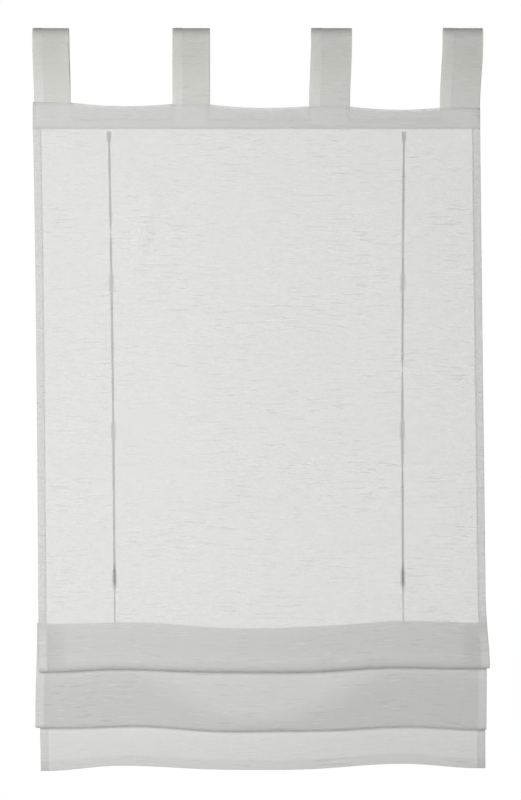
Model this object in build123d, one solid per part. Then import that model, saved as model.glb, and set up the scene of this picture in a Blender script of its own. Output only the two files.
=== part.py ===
"""A sheer tab-top roman blind, partly raised into two pleats and hung from a curtain rod.

X runs across the blind, Z up, and the front faces minus Y. The origin is on the rod's axis at mid width.
"""

import os
from math import asin, atan2, cos, hypot, pi, sin, tau

from build123d import *

# Cloth panel
blind_width = 600
cloth_thickness = 0.5
side_hem_width = 11
bottom_hem_height = 13
hem_extra_layers = 2

# Tab loops
rod_clear_radius = 14
tab_width = 52
tab_thickness = 1.0
tab_leg_gap = 0.2
tab_flare_radius = 30
tab_slot_clearance = 0.3
inner_tab_left_place = -88
inner_tab_right_place = 98

# Header: the top edge sags between the tabs and drops from left to right
header_top_drop = 88.5
header_height = 32
header_sag = 3.7
header_fall = 8
header_edge = 2.5

# Lift tapes and the guide loops that they pass through
tape_inset = 102
tape_width = 4.2
tape_thickness = 0.4
tape_clearance = 0.4
tape_bend_radius = 3
tape_anchor_height = 11.4
tape_anchor_drop = 3.4
tape_knot_width = 6.5
tape_knot_depth = 4
tape_knot_height = 6
tape_knot_round = 1.5
guide_height = 22
guide_thickness = 0.4
guide_pad_width = 0.8
guide_side_clearance = 0.4
guide_fold_clearance = 1
first_guide_drop = 327
guide_pitch = 198.5
flat_guides = 3

# Hang: how far each has moved to the right at the crest, from the header's seam down
panel_lean = 6.5
left_tape_lean = 8
right_tape_lean = -1

# Pleats at mid width: the crest hangs below the rod's axis, the rest from the crest down, and the tapes lift each
crest_drop = 790.8
crest_lift = 9.3
crest_radius = 2
second_crest_step = 27.3
swell_above_crest = 54.8
swell_radius = 120
swell_depth = 17
fold_radius = 5.5
upper_fold_below_crest = 59.8
upper_fold_lift = 5.4
upper_fold_rise = 7.7
lower_fold_below_upper = 79.2
lower_fold_lift = 6.3
hem_below_lower_fold = 50.9
hem_lift = 6.5
flap_clearance = 1.6
panel_sections = 13

# Directions of travel along a strip, in the YZ plane
UP = pi / 2
DOWN = -pi / 2

half_width = blind_width / 2
half_cloth = cloth_thickness / 2
hem_thickness = cloth_thickness * (1 + hem_extra_layers)
hem_back = hem_thickness - half_cloth
tape_place = half_width - tape_inset
seam_drop = header_top_drop + header_height
swell_drop = crest_drop - swell_above_crest
upper_fold_drop = crest_drop + upper_fold_below_crest
lower_fold_drop = upper_fold_drop + lower_fold_below_upper
hem_drop = lower_fold_drop + hem_below_lower_fold

# The header's pocket holds both legs of each tab, centred under the rod
pocket_half = tab_thickness + tab_leg_gap / 2
panel_back = -pocket_half
panel_middle = panel_back - half_cloth


def normal(heading):
    """Unit vector to the left of a heading, as (y, z)."""
    return -sin(heading), cos(heading)


def beside(point, heading, offset):
    """A point moved to the left of a heading."""
    y, z = normal(heading)
    return point[0] + offset * y, point[1] + offset * z


def turn_arcs(turns, start_heading, end_heading, offset):
    """Start, middle and end of every turn on a line beside a strip's path.

    A turn is (y, z, radius), with the radius positive for a left turn and negative for a right turn, and each
    turn goes the other way from the last, so a straight run crosses between them.
    """
    headings = [start_heading]
    for (y_a, z_a, radius_a), (y_b, z_b, radius_b) in zip(turns, turns[1:]):
        spread = asin((radius_b - radius_a) / hypot(y_b - y_a, z_b - z_a))
        headings.append(atan2(z_b - z_a, y_b - y_a) - spread)
    headings.append(end_heading)
    arcs = []
    for (y, z, radius), heading, next_heading in zip(turns, headings, headings[1:]):
        if radius > 0:
            sweep = (next_heading - heading) % tau
        else:
            sweep = -((heading - next_heading) % tau)
        stops = (heading, heading + sweep / 2, heading + sweep)
        arcs.append([beside((y, z), stop, offset - radius) for stop in stops])
    return arcs


def leaned(z, lean):
    """How far a point below the header's seam has moved to the right."""
    return lean * (-seam_drop - z) / (crest_drop - seam_drop)


def strip_wire(x, turns, start, end, start_heading, right_offset, left_offset, lean=0):
    """Closed outline, in the plane at x with its lean, of a strip that ends heading down."""

    def place(point):
        return Vector(x + leaned(point[1], lean), *point)

    edges = []
    sides = []
    for offset in (right_offset, left_offset):
        arcs = turn_arcs(turns, start_heading, DOWN, offset)
        points = [beside(start, start_heading, offset)]
        for arc in arcs:
            points += arc
        points.append(beside(end, DOWN, offset))
        sides.append([place(point) for point in points])
    for points in (sides[0], sides[1][::-1]):
        edges.append(Edge.make_line(points[0], points[1]))
        for first in range(1, len(points) - 1, 3):
            edges.append(Edge.make_three_point_arc(*points[first : first + 3]))
            edges.append(Edge.make_line(points[first + 2], points[first + 3]))
    edges.append(Edge.make_line(sides[0][-1], sides[1][-1]))
    edges.append(Edge.make_line(sides[1][0], sides[0][0]))
    return Wire(edges)


def strip_solid(middle_x, width, wire_at):
    """A strip of even section, centred on middle_x."""
    return extrude(Face(wire_at(middle_x - width / 2)), width, dir=(1, 0, 0))


def block(low, high):
    """A box between two corners."""
    return Pos(*low) * Box(*(b - a for a, b in zip(low, high)), align=(Align.MIN,) * 3)


# How the panel falls


def held_up(x):
    """1 where a tape holds the cloth up, falling to 0 halfway between the tapes."""
    return (1 - cos(pi * x / tape_place)) / 2


def crest_height(x):
    return -crest_drop + crest_lift * held_up(x) - crest_radius - half_cloth


def upper_fold_height(x):
    return -upper_fold_drop + upper_fold_lift * held_up(x) + upper_fold_rise * x / blind_width


def lower_fold_height(x):
    return -lower_fold_drop + lower_fold_lift * held_up(x)


def hem_height(x):
    return -hem_drop + hem_lift * held_up(x)


# Depths of the turns: the second layer from the back of each pleat is flush with the flat cloth above
swell_y = panel_middle - swell_radius
first_crest_y = panel_middle - crest_radius
upper_fold_y = panel_middle - swell_depth + fold_radius
lower_fold_y = panel_middle + fold_radius
flap_middle = lower_fold_y + fold_radius + cloth_thickness + flap_clearance
flap_back = flap_middle + half_cloth
second_crest_y = flap_middle - crest_radius


def panel_turns(x):
    """The turns of the panel's section from the flat cloth down to the flap."""
    fold_inset = fold_radius + half_cloth
    crest = crest_height(x)
    return [
        (swell_y, -swell_drop, -swell_radius),
        (upper_fold_y, upper_fold_height(x) + fold_inset, fold_radius),
        (first_crest_y, crest, -crest_radius),
        (lower_fold_y, lower_fold_height(x) + fold_inset, fold_radius),
        (second_crest_y, crest - second_crest_step, -crest_radius),
    ]


def panel_wire(x, back):
    start = (panel_middle, -seam_drop)
    end = (flap_middle, hem_height(x))
    return strip_wire(x, panel_turns(x), start, end, DOWN, -half_cloth, back, panel_lean)


def bottom_hem_wire(x):
    """The layers that are turned up behind the flap's lower edge."""
    start = (flap_middle, hem_height(x) + bottom_hem_height)
    end = (flap_middle, hem_height(x))
    return strip_wire(x, [], start, end, DOWN, half_cloth, hem_back, panel_lean)


# Header


def tab_middles():
    end_place = half_width - tab_width / 2
    return [-end_place, inner_tab_left_place, inner_tab_right_place, end_place]


def header_top(x):
    return -header_top_drop - header_fall * x / blind_width


def header_face(half, top_inset, bottom_inset):
    """The header seen from the front: level across each tab and sagging between them."""

    def top(x, sag):
        return Vector(x, 0, header_top(x) - sag - top_inset)

    bottom = -seam_drop + bottom_inset
    lefts = [middle - tab_width / 2 for middle in tab_middles()]
    rights = [middle + tab_width / 2 for middle in tab_middles()]
    lefts[0] = -half
    rights[-1] = half
    edges = []
    for left, right in zip(lefts, rights):
        edges.append(Edge.make_line(top(left, 0), top(right, 0)))
    for right, left in zip(rights, lefts[1:]):
        middle = top((left + right) / 2, header_sag)
        edges.append(Edge.make_three_point_arc(top(right, 0), middle, top(left, 0)))
    low_left = Vector(-half, 0, bottom)
    low_right = Vector(half, 0, bottom)
    edges.append(Edge.make_line(top(-half, 0), low_left))
    edges.append(Edge.make_line(low_left, low_right))
    edges.append(Edge.make_line(low_right, top(half, 0)))
    return Face(Wire(edges))


def header_solid():
    """The turned header, hollow between its front and back layers and open at the top for each tab."""
    outer_depth = pocket_half + cloth_thickness
    outer = extrude(header_face(half_width, 0, 0), outer_depth, dir=(0, 1, 0), both=True)
    inner_face = header_face(half_width - side_hem_width, header_edge, header_edge)
    header = outer - extrude(inner_face, pocket_half, dir=(0, 1, 0), both=True)
    slot_half = tab_width / 2 + tab_slot_clearance
    low_z = -seam_drop + header_edge
    for middle in tab_middles():
        header -= block((middle - slot_half, -pocket_half, low_z), (middle + slot_half, pocket_half, 0))
    return header


def blind_panel():
    inner_half = half_width - side_hem_width
    step = 2 * inner_half / (panel_sections - 1)
    places = [-inner_half + step * number for number in range(panel_sections)]
    panel = header_solid()
    panel += Solid.make_loft([panel_wire(x, half_cloth) for x in places])
    panel += Solid.make_loft([bottom_hem_wire(x) for x in places])
    for inner, outer in ((-inner_half, -half_width), (inner_half, half_width)):
        panel += Solid.make_loft([panel_wire(inner, hem_back), panel_wire(outer, hem_back)])
    return panel


def tab_loop(middle):
    """A flat double strip over the rod, with both legs inside the header."""
    leg_y = (tab_leg_gap + tab_thickness) / 2
    flare_z = header_top(middle - tab_width / 2)
    end_z = -seam_drop + header_edge
    turns = [
        (-leg_y - tab_flare_radius, flare_z, tab_flare_radius),
        (0, 0, -rod_clear_radius - tab_thickness / 2),
        (leg_y + tab_flare_radius, flare_z, tab_flare_radius),
    ]
    half = tab_thickness / 2

    def wire_at(x):
        return strip_wire(x, turns, (-leg_y, end_z), (leg_y, end_z), UP, -half, half)

    return strip_solid(middle, tab_width, wire_at)


# Guide loops and tapes

guide_depth = tape_thickness + 2 * tape_clearance
crest_at_tape = crest_height(tape_place)
second_crest_at_tape = crest_at_tape - second_crest_step


def guide_seats():
    """The cloth's back and the upper end of each guide loop on one tape, from the top down."""
    seats = []
    for number in range(flat_guides):
        top = -first_guide_drop - number * guide_pitch + guide_height / 2
        seats.append((panel_back, top))
    seats.append((panel_back, crest_at_tape - guide_fold_clearance))
    seats.append((flap_back, second_crest_at_tape - guide_fold_clearance))
    return seats


def guide_loop(middle, back, top):
    """A short cloth tunnel, sewn down along both sides, for the tape to run through."""
    inner = tape_width / 2 + guide_side_clearance
    outer = inner + guide_thickness
    foot = outer + guide_pad_width
    high = back + guide_depth
    roof = high + guide_thickness
    pad = back + guide_thickness
    half_outline = [
        (foot, back),
        (foot, pad),
        (outer, pad),
        (outer, roof),
    ]
    inside = [(inner, high), (inner, back)]
    mirrored = [(-x, y) for x, y in half_outline[::-1]]
    inside_mirrored = [(-x, y) for x, y in inside[::-1]]
    points = half_outline + mirrored + inside_mirrored + inside
    outline = [Vector(middle + x, y, top) for x, y in points]
    return extrude(Face(Wire.make_polygon(outline)), guide_height, dir=(0, 0, -1))


def lift_tape(middle, lean):
    """A flat tape from its sewn top end down through the guide loops to its knot."""
    tape_middle = panel_back + tape_clearance + tape_thickness / 2
    end_middle = flap_back + tape_clearance + tape_thickness / 2
    top = -seam_drop - tape_anchor_drop
    seats = guide_seats()
    bend_z = seats[-2][1] - guide_height
    knot_top = seats[-1][1] - guide_height
    knot_middle = knot_top - tape_knot_height / 2
    turns = [
        (tape_middle + tape_bend_radius, bend_z, tape_bend_radius),
        (second_crest_y, second_crest_at_tape, second_crest_y - end_middle),
    ]
    half = tape_thickness / 2

    def wire_at(x):
        start = (tape_middle, top)
        end = (end_middle, knot_middle)
        return strip_wire(x, turns, start, end, DOWN, -half, half, lean)

    tape = strip_solid(middle, tape_width, wire_at)
    half_tape = tape_width / 2
    anchor_back = tape_middle + half
    tape += block(
        (middle - half_tape, panel_back, top - tape_anchor_height), (middle + half_tape, anchor_back, top)
    )
    half_knot = tape_knot_width / 2
    knot_x = middle + leaned(knot_middle, lean)
    knot = block(
        (knot_x - half_knot, flap_back, knot_top - tape_knot_height),
        (knot_x + half_knot, flap_back + tape_knot_depth, knot_top),
    )
    return tape + fillet(knot.edges(), tape_knot_round)


parts = {"blind_panel": blind_panel()}
for number, middle in enumerate(tab_middles(), start=1):
    parts[f"tab_loop_{number}"] = tab_loop(middle)
tapes = {
    "left": (-tape_place, left_tape_lean),
    "right": (tape_place, right_tape_lean),
}
for side, (middle, lean) in tapes.items():
    parts[f"lift_tape_{side}"] = lift_tape(middle, lean)
    for number, (back, top) in enumerate(guide_seats(), start=1):
        place = middle + leaned(top - guide_height / 2, lean)
        parts[f"guide_loop_{side}_{number}"] = guide_loop(place, back, top)

os.makedirs("parts", exist_ok=True)
for name, part in parts.items():
    export_step(part, f"parts/{name}.step")
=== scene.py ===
"""Dresses the tab-top roman blind: sheer slub cloth in soft pleats, tabs, lift tapes, guide loops, stitches.

Shapes are worked out in millimetres, in the part's own frame: X runs across the blind, the front faces
minus Y, Z is up, and the origin is on the rod's axis at mid width. Meshes are made in metres.
"""

import logging
import math
from dataclasses import dataclass, field, replace
from enum import Enum, IntEnum

import bpy
import numpy as np
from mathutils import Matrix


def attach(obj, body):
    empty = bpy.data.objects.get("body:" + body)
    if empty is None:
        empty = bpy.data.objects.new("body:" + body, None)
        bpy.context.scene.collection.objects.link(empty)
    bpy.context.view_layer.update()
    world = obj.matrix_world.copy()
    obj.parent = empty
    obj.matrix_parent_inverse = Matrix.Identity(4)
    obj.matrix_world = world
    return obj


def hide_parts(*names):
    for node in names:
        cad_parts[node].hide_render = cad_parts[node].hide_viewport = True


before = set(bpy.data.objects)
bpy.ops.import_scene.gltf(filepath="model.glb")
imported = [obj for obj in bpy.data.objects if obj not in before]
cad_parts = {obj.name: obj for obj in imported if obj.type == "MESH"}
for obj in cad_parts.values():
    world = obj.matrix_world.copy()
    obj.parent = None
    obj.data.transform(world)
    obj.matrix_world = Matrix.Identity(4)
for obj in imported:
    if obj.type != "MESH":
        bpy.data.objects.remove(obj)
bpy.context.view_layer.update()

log = logging.getLogger("roman_blind")

MM = 0.001
UP = math.pi / 2
DOWN = -math.pi / 2
BODY = "root"

# Middle, width and the move of the top of each tab
TAB_PLACES = ((-273.8, 48.5, -2.0), (-87.5, 50, 0), (98, 54.5, 2.7), (273, 53.5, 4))

# Heights of the guide loops: two flat, one with the tape bunched in it, one drawn up behind the crest
LOOP_HEIGHTS = (-327, -525.5, -724, -795.75)

# Height of the last loop, on the back of the flap
LAST_LOOP_HEIGHT = -823.05

# Heights at which the left and the right tape are drawn thin
THIN_HEIGHTS = (-259, -443)


class Slot(Enum):
    """The record's material slots."""

    CLOTH = "sheer_cloth"
    TAB = "tab_cloth"
    TAPE = "lift_tape"
    GUIDE = "guide_cloth"


class Side(Enum):
    """The two lift tapes, with the sign of their place across the blind."""

    LEFT = -1
    RIGHT = 1

    @property
    def word(self) -> str:
        """The side's word in the names of pieces."""
        return self.name.lower()


class Station(IntEnum):
    """The marks along the panel's fall from the header's seam to the bottom hem."""

    SEAM = 0
    SWELL = 1
    UPPER_FOLD = 2
    CREST = 3
    LOWER_FOLD = 4
    SECOND_CREST = 5
    HEM = 6


# Small shapes and curves


def smooth(value: np.ndarray, low: float, high: float) -> np.ndarray:
    """Eases from 0 at low to 1 at high, as 3t^2 - 2t^3.

    Args:
        value: Where to read the ease.
        low: Value at which it starts.
        high: Value at which it ends.

    Returns:
        The eased share, from 0 to 1.
    """
    t = np.clip((np.asarray(value, float) - low) / (high - low), 0, 1)
    return t * t * (3 - 2 * t)


def bell(value: np.ndarray, middle: float, reach: float) -> np.ndarray:
    """A bump of height 1 at middle that fades over reach, as exp(-d^2).

    Args:
        value: Where to read the bump.
        middle: Its middle.
        reach: Distance at which it has fallen to 1/e.

    Returns:
        The bump's height.
    """
    return np.exp(-(((np.asarray(value, float) - middle) / reach) ** 2))


def normal_of(heading: np.ndarray) -> tuple[np.ndarray, np.ndarray]:
    """The unit vector to the left of a heading in the YZ plane, as its y and z."""
    return -np.sin(heading), np.cos(heading)


def unit(vectors: np.ndarray) -> np.ndarray:
    """The vectors along the last axis, each divided by its length."""
    return vectors / np.linalg.norm(vectors, axis=-1, keepdims=True)


def back_of(path: np.ndarray) -> np.ndarray:
    """The direction behind each point of a path: its heading in the YZ plane, turned a quarter left."""
    heading = unit(np.gradient(path[:, 1:], axis=0))
    return np.stack([0 * heading[:, 0], -heading[:, 1], heading[:, 0]], axis=1)


def run_length(steps: np.ndarray) -> np.ndarray:
    """The distance from the start at each point, as the sum of the steps before it."""
    return np.concatenate([[0], np.cumsum(steps)])


def path_length(path: np.ndarray) -> np.ndarray:
    """The distance from the start at each point of a path, n by 3."""
    return run_length(np.linalg.norm(np.diff(path, axis=0), axis=1))


def weave_map(across: np.ndarray, along: np.ndarray) -> np.ndarray:
    """Joins places across and along the flat cloth into one map, rows by columns by 2."""
    return np.stack(np.broadcast_arrays(across, along), axis=-1)


def half_turn(first: np.ndarray, last: np.ndarray, angle: np.ndarray) -> np.ndarray:
    """Goes round a half circle from first to last, as first + (last - first) * (1 - cos(angle)) / 2."""
    return first + (last - first) * (1 - np.cos(angle)) / 2


def ring_angles(count: int, start_share: float = 0) -> np.ndarray:
    """Even angles round a circle, the first at start_share of a step."""
    return (np.arange(count) + start_share) * 2 * np.pi / count


def grid_faces(rows: int, columns: int, loop_rows: bool = False, loop_columns: bool = False) -> np.ndarray:
    """The four-sided faces of a grid of points stored row by row.

    Args:
        rows: Number of rows.
        columns: Number of points in a row.
        loop_rows: Whether the last row joins the first.
        loop_columns: Whether the last point of a row joins its first.

    Returns:
        An array of four point numbers a face.
    """
    row = np.arange(rows if loop_rows else rows - 1)[:, None]
    column = np.arange(columns if loop_columns else columns - 1)[None, :]
    next_row = (row + 1) % rows
    next_column = (column + 1) % columns
    corners = (
        row * columns + column,
        next_row * columns + column,
        next_row * columns + next_column,
        row * columns + next_column,
    )
    return np.stack(corners, axis=-1).reshape(-1, 4)


@dataclass
class Surface:
    """A grid of points with its map and its painted shares, ready to become a mesh.

    points is rows by columns by 3, and weave is the same grid's place on the flat cloth, both in
    millimetres. shares are named values at each point that the finishes read, mostly from 0 to 1.
    """

    points: np.ndarray
    weave: np.ndarray
    shares: dict[str, np.ndarray] = field(default_factory=dict)
    loop_rows: bool = False
    loop_columns: bool = False

    def faces(self) -> np.ndarray:
        """The grid's faces."""
        rows, columns = self.points.shape[:2]
        return grid_faces(rows, columns, self.loop_rows, self.loop_columns)


def make_piece(name: str, surfaces: list[Surface], material: bpy.types.Material) -> bpy.types.Object:
    """Puts one or more surfaces into a smooth mesh object at the origin.

    Args:
        name: The piece's name.
        surfaces: Its grids.
        material: Its finish.

    Returns:
        The new object, linked to the scene.
    """
    points = np.concatenate([s.points.reshape(-1, 3) for s in surfaces]) * MM
    weave = np.concatenate([s.weave.reshape(-1, 2) for s in surfaces]) * MM
    starts = np.cumsum([0] + [s.points.shape[0] * s.points.shape[1] for s in surfaces])
    faces = np.concatenate([s.faces() + start for s, start in zip(surfaces, starts)])
    mesh = bpy.data.meshes.new(name)
    mesh.from_pydata(points.tolist(), [], faces.tolist())
    corner_points = np.empty(len(mesh.loops), np.int32)
    mesh.loops.foreach_get("vertex_index", corner_points)
    layer = mesh.uv_layers.new(name="weave")
    layer.data.foreach_set("uv", weave[corner_points].astype(np.float32).ravel())
    for share in surfaces[0].shares:
        values = np.concatenate([s.shares[share].ravel() for s in surfaces])
        mesh.attributes.new(share, "FLOAT", "POINT").data.foreach_set("value", values.astype(np.float32))
    mesh.polygons.foreach_set("use_smooth", np.ones(len(mesh.polygons), bool))
    mesh.materials.append(material)
    mesh.update()
    piece = bpy.data.objects.new(name, mesh)
    bpy.context.scene.collection.objects.link(piece)
    return piece


def thicken(piece: bpy.types.Object, thickness: float) -> None:
    """Gives a sheet its real thickness, half to each side.

    Args:
        piece: The sheet.
        thickness: Thickness in millimetres.
    """
    wall = piece.modifiers.new("thickness", "SOLIDIFY")
    wall.thickness = thickness * MM
    wall.offset = 0
    wall.use_rim = True


def tube_points(path: np.ndarray, across: np.ndarray, beside: np.ndarray, ring: np.ndarray) -> np.ndarray:
    """A section carried along a path: each point is path + a * across + b * beside for a ring point (a, b).

    Args:
        path: Points along the middle, n by 3.
        across: First section direction at each point, n by 3.
        beside: Second section direction at each point, n by 3.
        ring: Section outline, n or 1 by m by 2.

    Returns:
        The surface's points, n by m by 3.
    """
    return path[:, None] + ring[..., :1] * across[:, None] + ring[..., 1:] * beside[:, None]


# How the cloth hangs


@dataclass(frozen=True)
class FallLine:
    """A level edge of the blind: it hangs lowest halfway between the tapes, which lift it.

    drop is at mid width. The lifts are at the tapes, and the keeps are the shares of them left at the sides.
    The ripple makes ripple_turns half waves from mid width to a tape.
    """

    drop: float
    left_lift: float
    right_lift: float
    left_keep_share: float
    right_keep_share: float
    ripple: float
    ripple_start: float
    ripple_turns: float = 2.3

    def height(self, x: np.ndarray, tape_place: float, half_width: float) -> np.ndarray:
        """The edge's height: a cosine between the tapes, an ease from each tape to the side, a slow ripple.

        Args:
            x: Places across the blind.
            tape_place: Distance of each tape from mid width.
            half_width: Distance of each side from mid width.

        Returns:
            Height of the edge at each place.
        """
        lift = np.where(x < 0, self.left_lift, self.right_lift)
        keep = np.where(x < 0, self.left_keep_share, self.right_keep_share)
        inner = (1 - np.cos(np.pi * x / tape_place)) / 2
        outer = 1 - (1 - keep) * smooth(np.abs(x), tape_place, half_width)
        held = np.where(np.abs(x) < tape_place, inner, outer)
        wave = self.ripple * np.sin(x * np.pi / tape_place * self.ripple_turns + self.ripple_start)
        return -self.drop + lift * held + wave


@dataclass(frozen=True)
class Belly:
    """How a pleat's front rounds out below a station: the square of a half sine of a power of the way down.

    The power and the swag power set how low it is fullest at the tapes and halfway between them.
    held_share is how much of the depth is left at the tapes.
    """

    station: Station
    depth: float
    held_share: float
    power: float
    swag_power: float


@dataclass(frozen=True)
class Turn:
    """One turn of a strip's path in the YZ plane: its centre, and its radius, positive for a left turn."""

    y: np.ndarray
    z: np.ndarray
    radius: float


@dataclass(frozen=True)
class Wave:
    """One slow wave of the hanging cloth: share * sin(x / across + z / down + start)."""

    across: float
    down: float
    start: float
    share: float

    def depth(self, x: np.ndarray, z: np.ndarray) -> np.ndarray:
        """The wave's depth at places across and heights."""
        return self.share * np.sin(x / self.across + z / self.down + self.start)


@dataclass(frozen=True)
class Hang:
    """The sizes that the cloth, its tapes and its loops share, and how the whole blind falls."""

    half_width: float = 300
    tape_place: float = 198
    seam_z: float = -120.5
    crest_z: float = -790.8
    panel_y: float = -1.35
    panel_lean: float = 6.5
    wave_depth: float = 1.5
    wave_fade: float = 110
    waves: tuple[Wave, ...] = (Wave(61, 420, 0.6, 0.5), Wave(97, -131, 1.9, 0.6), Wave(240, 88, 0, 0.4))
    crease_middle: tuple[float, float] = (-157, -271)
    crease_heading: float = 1.27
    crease_height: float = 3.0
    crease_width: float = 8
    crease_reach: float = 42
    left_tape_lean: float = 8
    right_tape_lean: float = -1
    left_tape_bow: float = 1.2
    right_tape_bow: float = -1.6
    left_side_bow: float = 1.2
    side_bow_power: float = 0.6

    def leaned(self, z: np.ndarray, lean: float) -> np.ndarray:
        """How far a point has moved to the right, in proportion to its drop below the header's seam.

        Args:
            z: Heights.
            lean: The move at the crest.

        Returns:
            The move at each height.
        """
        return lean * np.maximum(self.seam_z - z, 0) / (self.seam_z - self.crest_z)

    def down_share(self, z: np.ndarray) -> np.ndarray:
        """How far a height is from the header's seam to the crest, from 0 to 1."""
        return np.clip((self.seam_z - z) / (self.seam_z - self.crest_z), 0, 1)

    def tape_x(self, side: Side, z: np.ndarray) -> np.ndarray:
        """Where a lift tape runs: its place across, its lean, and a slight bow as a half sine down its way.

        Args:
            side: Which tape.
            z: Heights.

        Returns:
            Place across.
        """
        left = side is Side.LEFT
        lean = self.left_tape_lean if left else self.right_tape_lean
        bow = self.left_tape_bow if left else self.right_tape_bow
        bowed = bow * np.sin(np.pi * self.down_share(z))
        return side.value * self.tape_place + self.leaned(z, lean) + bowed

    def side_bow(self, x: np.ndarray, z: np.ndarray) -> np.ndarray:
        """How far the left side is drawn in: a half sine of a power of the way down, fading to mid width.

        Args:
            x: Places across.
            z: Heights.

        Returns:
            The move to the right.
        """
        bow = self.left_side_bow * np.sin(np.pi * self.down_share(z) ** self.side_bow_power)
        return bow * np.clip(-x / self.half_width, 0, 1)

    def wave(self, x: np.ndarray, z: np.ndarray) -> np.ndarray:
        """The slow unevenness of the hanging cloth, front to back: crossing sine waves and one soft crease.

        It is nothing at the header and the same for every layer, so layers keep apart.

        Args:
            x: Places across.
            z: Heights.

        Returns:
            How far the cloth stands back.
        """
        fade = smooth(self.seam_z - z, 0, self.wave_fade)
        uneven = sum(wave.depth(x, z) for wave in self.waves)
        c, s = math.cos(self.crease_heading), math.sin(self.crease_heading)
        right = x - self.crease_middle[0]
        above = z - self.crease_middle[1]
        beside = bell(above * c - right * s, 0, self.crease_width)
        along = bell(right * c + above * s, 0, self.crease_reach)
        return self.wave_depth * fade * uneven - self.crease_height * beside * along


def turn_path(
    turns: list[Turn],
    start: tuple[np.ndarray, np.ndarray],
    end: tuple[np.ndarray, np.ndarray],
    offset: np.ndarray,
    run_counts: tuple[int, ...],
    arc_count: int,
    start_heading: float = DOWN,
) -> tuple[np.ndarray, np.ndarray]:
    """Points along a strip that runs straight between turns and ends heading down.

    Each straight run is the common tangent of its two turns: its heading is that of the line between their
    centres less asin((r2 - r1) / distance). A point on a turn is the centre plus (offset - r) times the
    heading's normal.

    Args:
        turns: The turns, whose centres may differ from column to column.
        start: Middle of the strip's start, as y and z.
        end: Middle of the strip's end, as y and z.
        offset: How far to the back of the strip's middle each column lies.
        run_counts: Points inside each straight run, one more than there are turns.
        arc_count: Points on each turn.
        start_heading: Heading at the start.

    Returns:
        The y and z of the points, each rows by columns.
    """
    even = np.zeros_like(offset)
    headings = [even + start_heading]
    for a, b in zip(turns, turns[1:]):
        spread = np.arcsin((b.radius - a.radius) / np.hypot(b.y - a.y, b.z - a.z))
        headings.append(np.arctan2(b.z - a.z, b.y - a.y) - spread + even)
    headings.append(even + DOWN)
    n_y, n_z = normal_of(headings[0])
    stops = [np.stack([start[0] + offset * n_y, start[1] + offset * n_z])[:, None]]
    share = np.linspace(0, 1, arc_count)[:, None]
    for turn, heading, following in zip(turns, headings, headings[1:]):
        left = (following - heading) % (2 * np.pi)
        sweep = np.where(turn.radius > 0, left, left - 2 * np.pi)
        n_y, n_z = normal_of(heading + share * sweep)
        reach = offset - turn.radius
        stops.append(np.stack([turn.y + reach * n_y, turn.z + reach * n_z]))
    stops.append(np.stack([end[0] + offset, end[1] + even])[:, None])
    rows = [stops[0]]
    for before, after, count in zip(stops, stops[1:], run_counts):
        along = (np.arange(1, count + 1) / (count + 1))[:, None]
        rows.append(before[:, -1:] * (1 - along) + after[:, :1] * along)
        rows.append(after)
    path = np.concatenate(rows, axis=1)
    return path[0], path[1]


# Finishes


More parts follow.
